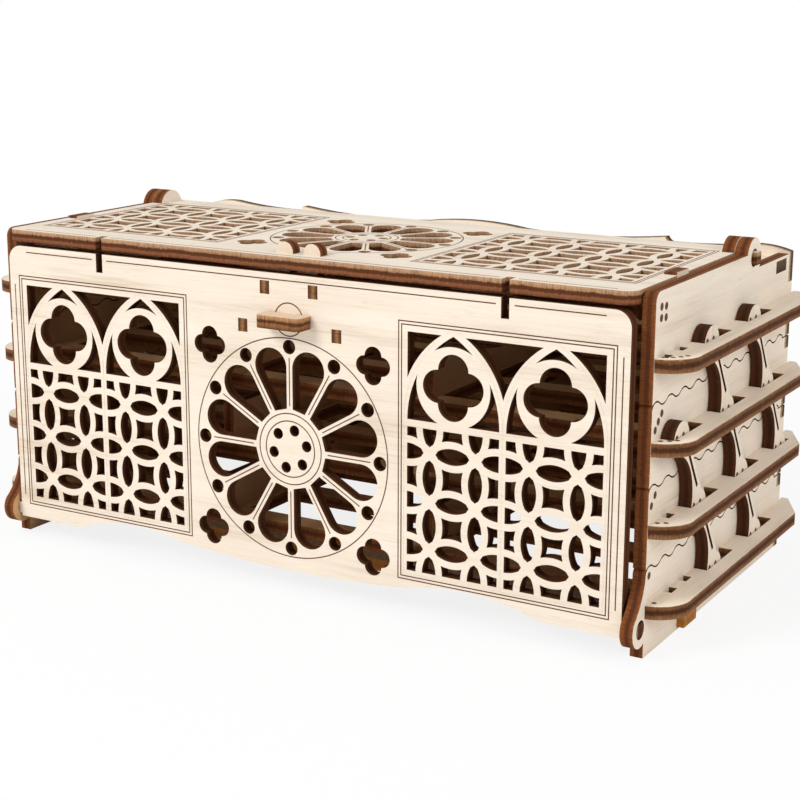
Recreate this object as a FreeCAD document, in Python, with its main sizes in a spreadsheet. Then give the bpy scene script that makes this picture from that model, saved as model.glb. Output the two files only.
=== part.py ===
import FreeCAD, Part
import math
import os
from types import SimpleNamespace

# Mechanical card holder: four plywood card tiers, stacked as a closed box. Outside bars swing the
# upper tiers back like the rows of an amphitheatre, and the front and the lid hinge open.
# Millimetres, +Z up, +X to the right, front towards -Y. Depths below are counted from the face of
# the front panel, and every piece is then moved so that the origin is under the object's middle.

Vector = FreeCAD.Vector
UP = Vector(0, 0, 1)

DIMS = [
    ("ply", 4.0, "plywood thickness"),
    ("fit_gap", 0.3, "gap between faces that move past each other"),
    ("running_fit", 0.05, "radial clearance of a pivot"),
    ("box_inner_width", 227.0, "between the inner faces of the side plates"),
    ("side_setback", 4.7, "front edge of the side plates behind the panel face"),
    ("side_corner", 3.0, "round at the top front corner of the side plates"),
    ("ledge_height", 16.0, "top of the lowest ledge above the table"),
    ("tier_pitch", 24.0, "height of one tier"),
    ("tier_lean", 16.0, "forward lean of the bars in one tier"),
    ("seam_height", 26.5, "lowest seam above the table"),
    ("seam_gap", 0.5, "gap in a seam"),
    ("seam_corner", 2.2, "round at the front end of a seam"),
    ("wave_height", 0.8, "rise of the wavy seam"),
    ("ledge_width", 9.5, "ledge, out from the side plate"),
    ("ledge_start", 0.2, "ledge front behind the front edge of its plate"),
    ("ledge_round", 12.0, "length of the rounded ledge front"),
    ("ledge_taper", 12.0, "length of the tapered ledge rear on its plate"),
    ("ledge_tip", 2.2, "ledge width at its rear tip"),
    ("ledge_overhang", 2.7, "ledge behind the rear edge of its plate"),
    ("notch_behind", 16.0, "bar notch of a ledge behind a pivot"),
    ("nick_ahead", 16.5, "middle of the nick ahead of the foremost pivot"),
    ("nick_spacing", 11.5, "between two nicks"),
    ("nick_length", 4.5, "nick along the ledge"),
    ("nick_cut", 2.6, "nick into the ledge"),
    ("pin_diameter", 4.0, "pivot pin"),
    ("pin_reach", 3.0, "pin end inside its bar"),
    ("front_margin", 17.0, "foremost pivot behind the panel face"),
    ("rear_margin", 17.0, "rearmost pivot ahead of the rear edge of its plate"),
    ("bar_spacing", 37.0, "between neighbouring bars"),
    ("boss_radius", 6.2, "round boss of a bar at each pivot"),
    ("neck_step", 1.4, "straight edge of a bar's neck inside the edge of its bosses"),
    ("neck_width", 4.2, "neck of a bar where it is narrowest"),
    ("slit_width", 1.3, "slit in a bar"),
    ("panel_play", 1.0, "front panel to a side plate"),
    ("panel_bottom", 6.7, "front panel above the table"),
    ("panel_rise", 13.7, "top of the front panel above the top ledge"),
    ("panel_corner", 5.0, "round at the top corners of the front panel"),
    ("apron_rise", 4.5, "curved lower edge of the front panel above its corners"),
    ("apron_foot", 26.0, "straight lower edge at each corner of the front panel"),
    ("front_hinge_height", 9.6, "front hinge axis above the table"),
    ("front_ear_radius", 5.5, "ear of the front hinge"),
    ("front_ear_blend", 15.0, "start of the curve into the ear, above the hinge axis"),
    ("lid_gap", 1.3, "lid above the front panel"),
    ("lid_play", 0.5, "lid to a side plate"),
    ("lid_hinge_depth", 84.6, "lid hinge axis behind the panel face"),
    ("lid_ear_radius", 6.3, "ear of the lid hinge"),
    ("lid_peg_proud", 1.5, "lid peg out of the side plate"),
    ("lid_corner", 4.0, "round at the front corners of the lid"),
    ("shoulder_drop", 0.5, "side plate top below the lid top"),
    ("rear_drop", 5.6, "side plate top behind the lid hinge, below the lid top"),
    ("rib_height", 6.5, "lid rib below the lid"),
    ("rib_front", 7.0, "front end of a lid rib"),
    ("tab_front", 31.0, "front of the rib tab"),
    ("tab_length", 9.0, "rib tab along the lid edge"),
    ("tab_rise", 0.8, "rib tab above the lid"),
    ("deck_drop", 2.5, "top of the rear deck below the lid underside"),
    ("deck_gap", 4.1, "rear deck behind the lid"),
    ("back_ear", 5.0, "upper ear of a back board below the seam of its tier"),
    ("crest_height", 2.1, "rise of the wavy crest on the top back board"),
    ("floor_front", 16.0, "front edge of the floors"),
    ("floor_border", 8.0, "floor strips round the windows"),
    ("rail_front", 30.7, "front of the rail's tenons"),
    ("rail_tenon", 10.0, "width of the rail's tenons"),
    ("rail_shoulder", 3.0, "rail beyond its tenons, each way"),
    ("rail_height", 1.0, "rail above the table"),
    ("rail_proud", 2.4, "rail tenon out of the side plate"),
    ("divider_front", 20.0, "front edge of the dividers"),
    ("divider_height", 12.0, "dividers above their floor"),
    ("divider_scoop", 4.5, "finger dip in a divider"),
    ("latch_drop", 14.0, "latch axis below the top of the front panel"),
    ("latch_diameter", 10.0, "latch hole in the front panel"),
    ("handle_width", 16.2, "latch handle"),
    ("handle_reach", 6.5, "latch handle in front of the panel"),
    ("handle_round", 2.0, "round at the handle's front corners"),
    ("handle_tenon", 6.0, "width of the handle's tenon"),
    ("tongue_length", 21.0, "latch tongue"),
    ("tongue_width", 9.2, "latch tongue across"),
    ("tongue_front", 10.0, "front face of the latch tongue"),
    ("post_offset", 5.0, "lid post from the middle"),
    ("post_front", 5.6, "front face of the lid posts"),
    ("post_head", 6.1, "head of a lid post"),
    ("post_neck", 0.6, "straight part of a post head above the lid"),
    ("post_stem", 3.8, "stem of a lid post"),
    ("post_drop", 9.5, "stem below the lid"),
    ("guide_offset", 8.8, "post guide from the middle"),
    ("guide_above", 9.3, "post guide above the latch axis"),
    ("guide_depth", 9.0, "rear end of a post guide"),
    ("stop_offset", 17.2, "latch stop from the middle"),
    ("stop_below", 3.4, "latch stop below the latch axis"),
    ("stop_depth", 14.0, "rear end of a latch stop"),
    ("peg_width", 3.5, "square tenon end, across"),
    ("peg_height", 4.2, "square tenon end, upright"),
    ("shoe_height", 9.0, "guide or stop behind the panel, upright"),
    ("slot_offset", 73.8, "panel and lid slots from the middle"),
    ("slot_width", 2.6, "panel and lid slots"),
    ("slot_depth", 6.1, "slot down the panel"),
    ("lid_slot_depth", 4.0, "slot into the lid's front edge"),
    ("fret_rib", 2.2, "rib of the fretwork"),
    ("fret_margin", 7.0, "plain border round the fretwork"),
    ("wheel_border", 5.0, "plain border under the wheel window of the front panel"),
    ("lid_fret_front", 15.0, "front of the lid's fretwork"),
    ("lid_fret_border", 7.6, "rear of the lid's fretwork to the hinge axis"),
]
DERIVED = [
    ("panel_top", "=ledge_height + 3 * tier_pitch + panel_rise", "front panel above the table"),
    ("latch_height", "=panel_top - latch_drop", "latch axis above the table"),
    (
        "front_bar_depth",
        "=front_margin + 2 * tier_lean",
        "lowest pivot of the front bar behind the panel face",
    ),
    (
        "side_rear",
        "=front_bar_depth + 2 * bar_spacing - tier_lean + rear_margin",
        "rear edge of the side plates behind the panel face",
    ),
    ("notch_ahead", "=boss_radius + fit_gap", "bar notch of a ledge ahead of a pivot"),
    (
        "neck_slant",
        "=sqrt(tier_pitch ^ 2 + tier_lean ^ 2) / tier_pitch",
        "a bar's width along a ledge over its width across",
    ),
    (
        "notch_least",
        "=(boss_radius - neck_step) * neck_slant + ply / 2 * tier_lean / tier_pitch + fit_gap",
        "room that a swinging bar needs behind its pivot",
    ),
    (
        "shift",
        "=-(side_rear + ledge_overhang - fit_gap - handle_reach) / 2",
        "move in depth that puts the origin in the middle of the object",
    ),
]

doc = FreeCAD.newDocument("card_holder")
sheet = doc.addObject("Spreadsheet::Sheet", "dims")
for row, (alias, value, note) in enumerate(DIMS + DERIVED, start=1):
    sheet.set(f"A{row}", note)
    sheet.set(f"B{row}", str(value))
    sheet.setAlias(f"B{row}", alias)
doc.recompute()
d = SimpleNamespace(**{alias: float(sheet.get(alias)) for alias, value, note in DIMS + DERIVED})

# Places that several pieces share, worked out from the sheet.
half_inner = d.box_inner_width / 2
half_outer = half_inner + d.ply
back_front = d.side_rear - d.ply
panel_half = half_inner - d.panel_play
lid_half = half_inner - d.lid_play
lid_bottom = d.panel_top + d.lid_gap
lid_top = lid_bottom + d.ply
lid_axis = lid_bottom + d.ply / 2
lid_rear = d.lid_hinge_depth + d.lid_ear_radius
rib_inner = lid_half - d.ply
shoulder = lid_top - d.shoulder_drop
rear_top = lid_top - d.rear_drop
lid_fret_rear = d.lid_hinge_depth - d.lid_fret_border
deck_top = lid_bottom - d.deck_drop
deck_front = lid_rear + d.deck_gap
peg_reach = math.hypot(d.ply / 2, d.ply / 2) + d.running_fit
bar_inner = half_outer + d.fit_gap
wave_period = 2 * d.tier_lean / 3

TIERS = ("base", "tier_2", "tier_3", "tier_4")
TOP = len(TIERS) - 1
BARS = {
    "front": (d.front_bar_depth, range(0, TOP)),
    "long": (d.front_bar_depth + d.bar_spacing, range(0, TOP + 1)),
    "rear": (d.front_bar_depth + 2 * d.bar_spacing, range(1, TOP + 1)),
}
nodes = []


def ledge_top(tier):
    return d.ledge_height + tier * d.tier_pitch


def seam(tier):
    """Height of the seam on top of a tier."""
    return d.seam_height + tier * d.tier_pitch


def pivot(bar, tier):
    """Depth and height of the pivot of a bar at a tier."""
    depth, tiers = BARS[bar]
    return (depth - tier * d.tier_lean, ledge_top(tier) - d.ply / 2)


def pivots(tier):
    return [pivot(bar, tier) for bar in BARS if tier in BARS[bar][1]]


TENON_SHARE = 0.6


def tenons(tier):
    """Front and rear of each tenon that a ledge and a floor share in a side plate."""
    depths = [y for y, z in pivots(tier)]
    solid = d.bar_spacing - d.notch_ahead - d.notch_behind
    middles = [(y + d.notch_behind + solid / 2, solid) for y in depths]
    between_nicks = depths[0] - d.nick_ahead - d.nick_spacing / 2
    middles.insert(0, (between_nicks, d.nick_spacing - d.nick_length))
    spans = [(y - TENON_SHARE * w / 2, y + TENON_SHARE * w / 2) for y, w in middles]
    return [(a, b) for a, b in spans if a > d.floor_front and b < back_front]


DECK_TENON_SHARES = (0.476, 0.884)


def deck_tenon():
    """Front and rear of the deck's through tenon, from shares of the deck's depth."""
    return [deck_front + share * (back_front - deck_front) for share in DECK_TENON_SHARES]


def flat(point):
    return Vector(point[0], point[1], 0)


def loop(start, *steps):
    """Edges of a closed outline. A step is the next corner, or a point on an arc and its end."""
    edges = []
    here = start
    for step in steps + (start,):
        on_arc = isinstance(step[0], tuple)
        end = step[1] if on_arc else step
        if on_arc:
            edges.append(Part.ArcOfCircle(flat(here), flat(step[0]), flat(end)))
        elif math.dist(here, end) > d.running_fit / 10:
            edges.append(Part.LineSegment(flat(here), flat(end)))
        here = end
    return edges


def rectangle(x0, x1, y0, y1):
    return loop((x0, y0), (x1, y0), (x1, y1), (x0, y1))


def ring_hole(centre, radius):
    return [Part.Circle(flat(centre), UP, radius)]


def sheet_piece(label, plane, loops, x="0", y="0", z="0", length="dims.ply"):
    """One laser-cut piece: an outline with its holes, drawn on a plane and padded."""
    body = doc.addObject("PartDesign::Body", label)
    sketch = body.newObject("Sketcher::SketchObject", label + "_outline")
    sketch.AttachmentSupport = [(origin_plane(body, plane), "")]
    sketch.MapMode = "FlatFace"
    sketch.addGeometry([edge for edges in loops for edge in edges], False)
    pad = body.newObject("PartDesign::Pad", label + "_sheet")
    pad.Profile = sketch
    pad.setExpression("Length", length)
    body.setExpression(".Placement.Base.x", x)
    body.setExpression(".Placement.Base.y", f"{y} + dims.shift")
    body.setExpression(".Placement.Base.z", z)
    nodes.append(body)
    return body


def origin_plane(body, role):
    return next(plane for plane in body.Origin.OriginFeatures if plane.Role == role)


def mirrored(source, label):
    """The left-hand twin of a right-hand piece."""
    twin = doc.addObject("Part::Mirroring", label)
    twin.Source = source
    twin.Normal = Vector(1, 0, 0)
    nodes.append(twin)
    return twin


# Side plates: upright plates whose wavy top and bottom edges mate at the seams. The lowest pair
# has the ears of the front hinge, and the top pair the ears of the lid hinge.
def wave(height, backwards=False):
    """Steps along a seam from the front edge of a plate to the last half wave, or back."""
    half = wave_period / 2
    count = int((back_front - d.side_setback) / half)
    ends = [d.side_setback + i * half for i in range(count + 1)]
    steps = []
    for i in range(count):
        crest = height + (d.wave_height if i % 2 == 0 else -d.wave_height)
        middle = (ends[i] + half / 2, crest)
        steps.append((middle, (ends[i if backwards else i + 1], height)))
    return steps[::-1] if backwards else steps


def side_top(tier):
    """Steps along the top of a side plate, from its rear edge to its front edge."""
    if tier < TOP:
        height = seam(tier) - d.seam_gap / 2
        waves = wave(height, backwards=True)
        last = d.side_setback + len(waves) * wave_period / 2
        low = height - d.wave_height
        ear = seam(tier) - d.back_ear
        rear = [(d.side_rear, ear), (back_front, ear), (back_front, low), (last, low), (last, height)]
        share = 2 * d.seam_corner / wave_period
        corner = (
            d.side_setback + d.seam_corner,
            height + 4 * d.wave_height * share * (1 - share),
        )
        bend = ((d.side_setback + corner[0]) / 2, (height + corner[1]) / 2)
        start = (d.side_setback, height - d.seam_corner)
        return rear + waves[:-1] + [(waves[-1][0], corner), (bend, start)]
    rear_rise = rear_top - lid_axis
    front_rise = shoulder - lid_axis
    ear_rear = d.lid_hinge_depth + math.sqrt(d.lid_ear_radius ** 2 - rear_rise ** 2)
    ear_front = d.lid_hinge_depth - math.sqrt(d.lid_ear_radius ** 2 - front_rise ** 2)
    corner = d.side_setback + d.side_corner
    bend = d.side_corner * (1 - math.sqrt(0.5))
    return [
        (d.side_rear, ledge_top(tier) + d.ply),
        (back_front, ledge_top(tier) + d.ply),
        (back_front, rear_top),
        (ear_rear, rear_top),
        ((d.lid_hinge_depth, lid_axis + d.lid_ear_radius), (ear_front, shoulder)),
        (corner, shoulder),
        ((d.side_setback + bend, shoulder - bend), (d.side_setback, shoulder - d.side_corner)),
    ]


EAR_TURN = math.radians(140)
EAR_HOLLOW_SHARE = 0.09


def side_outline(tier):
    ledge_under = ledge_top(tier) - d.ply
    rear = [(back_front, ledge_under), (d.side_rear, ledge_under)]
    if tier > 0:
        height = seam(tier - 1) + d.seam_gap / 2
        waves = wave(height)
        step = waves[-1][1][0] + d.seam_gap
        low = height - d.wave_height
        bottom = waves + [(step, height), (step, low), (back_front, low)]
        return loop((d.side_setback, height), *bottom, *rear, *side_top(tier))

    def on_ear(turn):
        return (
            d.ply / 2 + d.front_ear_radius * math.cos(turn),
            d.front_hinge_height + d.front_ear_radius * math.sin(turn),
        )

    last_turn = 2 * math.pi - math.acos((d.side_setback - d.ply / 2) / d.front_ear_radius)
    corner = seam(tier) - d.seam_gap / 2 - d.seam_corner
    top = (d.side_setback, min(d.front_hinge_height + d.front_ear_blend, corner))
    meet = on_ear(EAR_TURN)
    hollow = (
        (top[0] + meet[0]) / 2 + EAR_HOLLOW_SHARE * (top[1] - meet[1]),
        (top[1] + meet[1]) / 2 - EAR_HOLLOW_SHARE * (top[0] - meet[0]),
    )
    ear = [top, (hollow, meet), (on_ear((EAR_TURN + last_turn) / 2), on_ear(last_turn))]
    return loop((d.side_setback, 0), (back_front, 0), *rear, *side_top(tier), *ear)


def make_sides(tier):
    under = ledge_top(tier) - d.ply
    holes = [ring_hole(place, d.pin_diameter / 2) for place in pivots(tier)]
    holes += [rectangle(front, rear, under, under + d.ply) for front, rear in tenons(tier)]
    if tier == 0:
        holes.append(ring_hole((d.ply / 2, d.front_hinge_height), peg_reach))
        rail_rear = d.rail_front + d.rail_tenon
        holes.append(rectangle(d.rail_front, rail_rear, d.rail_height, d.rail_height + d.ply))
    if tier == TOP:
        holes.append(ring_hole((d.lid_hinge_depth, lid_axis), peg_reach))
        holes.append(rectangle(*deck_tenon(), deck_top - d.ply, deck_top))
    loops = [side_outline(tier)] + holes
    right = sheet_piece(
        TIERS[tier] + "_right_side", "YZ_Plane", loops, x="dims.box_inner_width / 2"
    )
    mirrored(right, TIERS[tier] + "_left_side")


# Ledges: narrow shelves on the outside of the side plates, tenoned into them, with a notch at
# each bar so that the bar can swing, and nicks ahead of the first bar.
ROUND_SHARES = (0.66, 0.24)


def make_ledges(tier):
    front = d.side_setback + d.ledge_start
    outer = half_outer + d.ledge_width
    rear = d.side_rear + d.ledge_overhang
    notch_depth = 2 * d.fit_gap + d.ply
    depths = [y for y, z in pivots(tier)]
    widest = d.side_rear - d.ledge_taper + d.ply
    cuts = [(a, b, -d.ply / 2) for a, b in tenons(tier)]
    for y in depths:
        notch_rear = max(min(y + d.notch_behind, widest), y + d.notch_least)
        cuts.append((y - d.notch_ahead, notch_rear, notch_depth))
    for y in (depths[0] - d.nick_ahead, depths[0] - d.nick_ahead - d.nick_spacing):
        nick = y - d.nick_length / 2
        if nick > front + d.ply / 2:
            cuts.append((nick, nick + d.nick_length, d.nick_cut))
    inner_edge = []
    for a, b, depth in sorted(cuts, reverse=True):
        x = half_outer + depth
        inner_edge += [(half_outer, b), (x, b), (x, a), (half_outer, a)]
    on_round = (
        half_outer + ROUND_SHARES[0] * d.ledge_width,
        front + ROUND_SHARES[1] * d.ledge_round,
    )
    outline = loop(
        (half_outer, front),
        (on_round, (outer, front + d.ledge_round)),
        (outer, d.side_rear - d.ledge_taper),
        (half_outer + d.ledge_tip, rear),
        (half_outer, rear),
        *inner_edge,
    )
    height = f"dims.ledge_height + {tier} * dims.tier_pitch - dims.ply"
    right = sheet_piece(TIERS[tier] + "_right_ledge", "XY_Plane", [outline], z=height)
    mirrored(right, TIERS[tier] + "_left_ledge")


# Floors: one grid of slats in each tier, held by short tenons in the side plates.
def make_floor(tier):
    tenon_end = half_inner + d.ply / 2
    edge = []
    for a, b in tenons(tier):
        edge += [(half_inner, a), (tenon_end, a), (tenon_end, b), (half_inner, b)]
    other_edge = [(-x, y) for x, y in edge[::-1]]
    outline = loop(
        (-half_inner, d.floor_front),
        (half_inner, d.floor_front),
        *edge,
        (half_inner, back_front),
        (-half_inner, back_front),
        *other_edge,
    )
    columns = rows = 3
    window_x = (d.box_inner_width - (columns + 1) * d.floor_border) / columns
    window_y = (back_front - d.floor_front - (rows + 1) * d.floor_border) / rows
    windows = []
    for i in range(columns):
        for j in range(rows):
            x = -half_inner + d.floor_border + i * (window_x + d.floor_border)
            y = d.floor_front + d.floor_border + j * (window_y + d.floor_border)
            windows.append(rectangle(x, x + window_x, y, y + window_y))
    height = f"dims.ledge_height + {tier} * dims.tier_pitch - dims.ply"
    sheet_piece(TIERS[tier] + "_floor", "XY_Plane", [outline] + windows, z=height)


# Rail: a flat strip that ties the lowest side plates together under the floor. The ends of its
# tenons stand out of the plates.
def make_rail():
    end = half_outer + d.rail_proud
    front, rear = d.rail_front, d.rail_front + d.rail_tenon
    wide_front, wide_rear = front - d.rail_shoulder, rear + d.rail_shoulder
    half = [
        (half_inner, wide_front),
        (half_inner, front),
        (end, front),
        (end, rear),
        (half_inner, rear),
        (half_inner, wide_rear),
    ]
    other_half = [(-x, y) for x, y in half[::-1]]
    sheet_piece("base_rail", "XY_Plane", [loop(*half, *other_half)], z="dims.rail_height")


# Dividers: low walls on the floor strips, three card columns in each tier. The top pair carries
# the rear deck.
def make_dividers(tier):
    low = ledge_top(tier)
    high = low + d.divider_height if tier < TOP else deck_top - d.ply
    middle = (d.divider_front + back_front) / 2
    quarter = (back_front - d.divider_front) / 4
    outline = loop(
        (d.divider_front, low),
        (back_front, low),
        (back_front, high),
        (middle + quarter, high),
        ((middle, high - d.divider_scoop), (middle - quarter, high)),
        (d.divider_front, high),
    )
    place = "dims.box_inner_width / 6 - dims.ply / 2"
    right = sheet_piece(TIERS[tier] + "_right_divider", "YZ_Plane", [outline], x=place)
    mirrored(right, TIERS[tier] + "_left_divider")


# Back boards: one per tier, with ears that lie behind the side plates. The top one has a crest.
CREST_SHARES = ((1, 0.25), (0.893, 1), (0.643, 0.15), (0.628, 1), (0.174, 0.25))
CREST_ARC_SHARES = (0.92, 0.3, 0.4, 0, 1)


def make_back(tier):
    low = seam(tier - 1) - d.wave_height + d.seam_gap / 2 if tier > 0 else 0
    high = seam(tier) - d.wave_height - d.seam_gap / 2 if tier < TOP else rear_top
    ear_top = ledge_top(tier) - d.ply
    right = [(half_outer, low), (half_outer, ear_top), (half_inner, ear_top)]
    second = seam(tier) - d.back_ear if tier < TOP else ledge_top(tier) + d.ply
    right += [(half_inner, second), (half_outer, second)]
    left = [(-x, z) for x, z in right[::-1]]
    top = [(half_outer, high), (-half_outer, high)]
    if tier == TOP:
        ends = [(x * half_outer, high + z * d.crest_height) for x, z in CREST_SHARES]
        ends += [(-x, z) for x, z in ends[::-1]]
        arcs = CREST_ARC_SHARES + CREST_ARC_SHARES[-2::-1]
        top = [ends[0]]
        for start, end, share in zip(ends, ends[1:], arcs):
            middle = ((start[0] + end[0]) / 2, high + share * d.crest_height)
            top.append((middle, end))
    sheet_piece(
        TIERS[tier] + "_back", "XZ_Plane", [loop(right[0], *right[1:], *top, *left)],
        y="dims.side_rear",
    )


# Pivot pins: wooden dowels fixed in the side plates, on which the bars turn.
def make_pins(tier):
    pins = []
    for side in ("right", "left"):
        for index, (depth, height) in enumerate(pivots(tier)):
            pin = doc.addObject("Part::Cylinder", f"{TIERS[tier]}_{side}_pin_{index}")
            pin.setExpression("Radius", "dims.pin_diameter / 2")
            pin.setExpression("Height", "dims.ply + dims.fit_gap + dims.pin_reach")
            reach = half_inner if side == "right" else -(bar_inner + d.pin_reach)
            place = Vector(reach, depth + d.shift, height)
            pin.Placement = FreeCAD.Placement(place, FreeCAD.Rotation(Vector(0, 1, 0), 90))
            pins.append(pin)
    group = doc.addObject("Part::Compound", TIERS[tier] + "_pivot_pins")
    group.Links = pins
    nodes.append(group)


# Bars: chains of round bosses and curved necks outside the side plates, with a slit in each neck
# and a blind pivot hole at each pin. All of them swing together.
SLIT_SHARES = (0.25, 0.76)
NECK_SHARE = 0.7
NECK_TURN = math.radians(50)


def make_bars(name):
    depth, tiers = BARS[name]
    places = [pivot(name, tier) for tier in tiers]
    length = math.hypot(d.tier_lean, d.tier_pitch)
    along = (-d.tier_lean / length, d.tier_pitch / length)
    across = (d.tier_pitch / length, d.tier_lean / length)
    boss = d.boss_radius
    neck_rear = boss - d.neck_step
    neck_front = neck_rear - d.neck_width

    def at(place, forward, sideways):
        return (
            place[0] + forward * along[0] + sideways * across[0],
            place[1] + forward * along[1] + sideways * across[1],
        )

    first = (boss * math.cos(NECK_TURN), -boss * math.sin(NECK_TURN))
    corner = math.sqrt(boss ** 2 - neck_rear ** 2)
    front = []
    slits = []
    for lower, upper in zip(places, places[1:]):
        front.append((at(lower, NECK_SHARE * length, neck_front), at(upper, 0, -boss)))
        if upper != places[-1]:
            turn = NECK_TURN + (math.pi / 2 - NECK_TURN) / 2
            middle = (boss * math.cos(turn), -boss * math.sin(turn))
            front.append((at(upper, *middle), at(upper, *first)))
        thin = d.slit_width / 2
        middle = (neck_rear + neck_front) / 2
        low, high = [share * length for share in SLIT_SHARES]
        slits.append(loop(
            at(lower, low, middle - thin),
            at(lower, high, middle - thin),
            at(lower, high, middle + thin),
            at(lower, low, middle + thin),
        ))
    head = (at(places[-1], boss, 0), at(places[-1], -corner, neck_rear))
    rear = []
    for place in places[-2:0:-1]:
        rear.append(at(place, corner, neck_rear))
        rear.append((at(place, 0, boss), at(place, -corner, neck_rear)))
    rear.append(at(places[0], corner, neck_rear))
    foot = (at(places[0], -boss, 0), at(places[0], *first))
    outline = loop(at(places[0], *first), *front, head, *rear, foot)
    label = f"right_{name}_bar"
    place = "dims.box_inner_width / 2 + dims.ply + dims.fit_gap"
    bar = sheet_piece(label, "YZ_Plane", [outline] + slits, x=place)
    sketch = bar.newObject("Sketcher::SketchObject", label + "_pivots")
    sketch.AttachmentSupport = [(origin_plane(bar, "YZ_Plane"), "")]
    sketch.MapMode = "FlatFace"
    for centre in places:
        sketch.addGeometry(ring_hole(centre, d.pin_diameter / 2 + d.running_fit), False)
    holes = bar.newObject("PartDesign::Pocket", label + "_holes")
    holes.Profile = sketch
    holes.Reversed = True
    holes.setExpression("Length", "dims.pin_reach + dims.fit_gap")
    mirrored(bar, f"left_{name}_bar")


# Fretwork, for the front panel and the lid: a wheel window of round-headed lights between fields
# of interlaced circles, in lancets on the front. Drawn flat, as the openings to cut out.
PETALS = 12
HUB_SHARE = 0.3
SPRING_SHARE = 0.72
RIM_SHARE = 0.93
EYE_SHARE = 0.17
EYE_RING_SHARE = 0.6
RIM_EYE_SHARE = 0.065
SPANDREL_SHARE = 0.86
FOIL_SHARE = 0.17
CIRCLE_SHARE = 0.74
HEAD_SHARE = 0.4


def wire(edges):
    return Part.Wire([edge.toShape() for edge in edges])


def disc(centre, radius):
    return Part.Face(wire(ring_hole(centre, radius)))


def wheel_openings(centre, radius):
    """Lights of a wheel window, and the ring of eyes in its hub."""
    wires = []
    hub = HUB_SHARE * radius
    for i in range(PETALS):
        angle = 2 * math.pi * (i + 0.5) / PETALS

        def polar(reach, sideways):
            return (
                centre[0] + reach * math.cos(angle) - sideways * math.sin(angle),
                centre[1] + reach * math.sin(angle) + sideways * math.cos(angle),
            )

        inner = hub + d.fret_rib
        spring = SPRING_SHARE * radius
        inner_half = inner * math.tan(math.pi / PETALS) - d.fret_rib / 2
        spring_half = spring * math.tan(math.pi / PETALS) - d.fret_rib / 2
        wires.append(wire(loop(
            polar(inner, -inner_half),
            polar(spring, -spring_half),
            (polar(RIM_SHARE * radius, 0), polar(spring, spring_half)),
            polar(inner, inner_half),
        )))
        if i % 2 == 0:
            wires.append(wire(ring_hole(polar(EYE_RING_SHARE * hub, 0), EYE_SHARE * hub)))
        angle += math.pi / PETALS
        wires.append(wire(ring_hole(polar(RIM_SHARE * radius, 0), RIM_EYE_SHARE * radius)))
    return wires


def quatrefoil(centre, radius):
    """A four-lobed opening: half circles on the sides of a square."""
    x, y = centre
    side = radius / 2
    return wire(loop(
        (x - side, y - side),
        ((x, y - radius), (x + side, y - side)),
        ((x + radius, y), (x + side, y + side)),
        ((x, y + radius), (x - side, y + side)),
        ((x - radius, y), (x - side, y - side)),
    ))


def spandrels(centre, radius):
    """Four-lobed openings in the corners of the square round a wheel window."""
    reach = SPANDREL_SHARE * radius
    return [
        quatrefoil((centre[0] + x * reach, centre[1] + y * reach), FOIL_SHARE * radius)
        for x in (-1, 1) for y in (-1, 1)
    ]


def lancet(low, high):
    """Outline of an equilateral pointed arch, with straight sides below it if there is room."""
    width = high[0] - low[0]
    rise = width * math.sqrt(3) / 2
    spring = max(low[1], high[1] - rise)
    apex = ((low[0] + high[0]) / 2, high[1])
    return loop(
        low,
        (high[0], low[1]),
        (high[0], spring),
        ((low[0] + rise, spring + width / 2), apex),
        ((high[0] - rise, spring + width / 2), (low[0], spring)),
    )


def field_openings(low, high, columns, rows):
    """Openings between interlaced circles in a rectangle."""
    cell_x = (high[0] - low[0]) / columns
    cell_y = (high[1] - low[1]) / rows
    radius = CIRCLE_SHARE * min(cell_x, cell_y)
    rings = []
    for i in range(columns + 1):
        for j in range(rows + 1):
            centre = (low[0] + i * cell_x, low[1] + j * cell_y)
            inside = disc(centre, radius - d.fret_rib / 2)
            rings.append(disc(centre, radius + d.fret_rib / 2).cut(inside))
    field = Part.Face(wire(rectangle(low[0], high[0], low[1], high[1])))
    return clear_wires(field.cut(rings))


def clear_wires(openings):
    """Outlines of the openings that are large enough to cut."""
    return [face.OuterWire for face in openings.Faces if face.Area > d.fret_rib ** 2]


def lancet_pair(low, high):
    """Two lancet windows: interlaced circles, a four-lobed opening in each head, corners cut out."""
    middle = (low[0] + high[0]) / 2
    width = (high[0] - low[0] - d.fret_rib) / 2
    spring = high[1] - width * math.sqrt(3) / 2
    wires = []
    frames = []
    for left in (low[0], middle + d.fret_rib / 2):
        right = left + width
        wires += field_openings((left, low[1]), (right, spring - d.fret_rib), 2, 3)
        head = HEAD_SHARE * width
        centre = ((left + right) / 2, spring + head - d.fret_rib / 2)
        arch = Part.Face(wire(lancet((left, spring), (right, high[1]))))
        wires += clear_wires(arch.cut(disc(centre, head)))
        wires.append(quatrefoil(centre, head - d.fret_rib))
        outer_low = (left - d.fret_rib, spring)
        outer_high = (right + d.fret_rib, high[1] + d.fret_rib)
        frames.append(Part.Face(wire(lancet(outer_low, outer_high))))
    corners = Part.Face(wire(rectangle(low[0], high[0], spring, high[1])))
    return wires + clear_wires(corners.cut(frames))


def fret_sheet(outline, openings):
    face = Part.makeFace([wire(outline)] + openings, "Part::FaceMakerBullseye")
    return face.extrude(UP * d.ply)


def fret_piece(label, shape, placement):
    piece = doc.addObject("Part::Feature", label)
    piece.Shape = shape
    piece.Placement = placement
    nodes.append(piece)
    return piece


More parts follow.
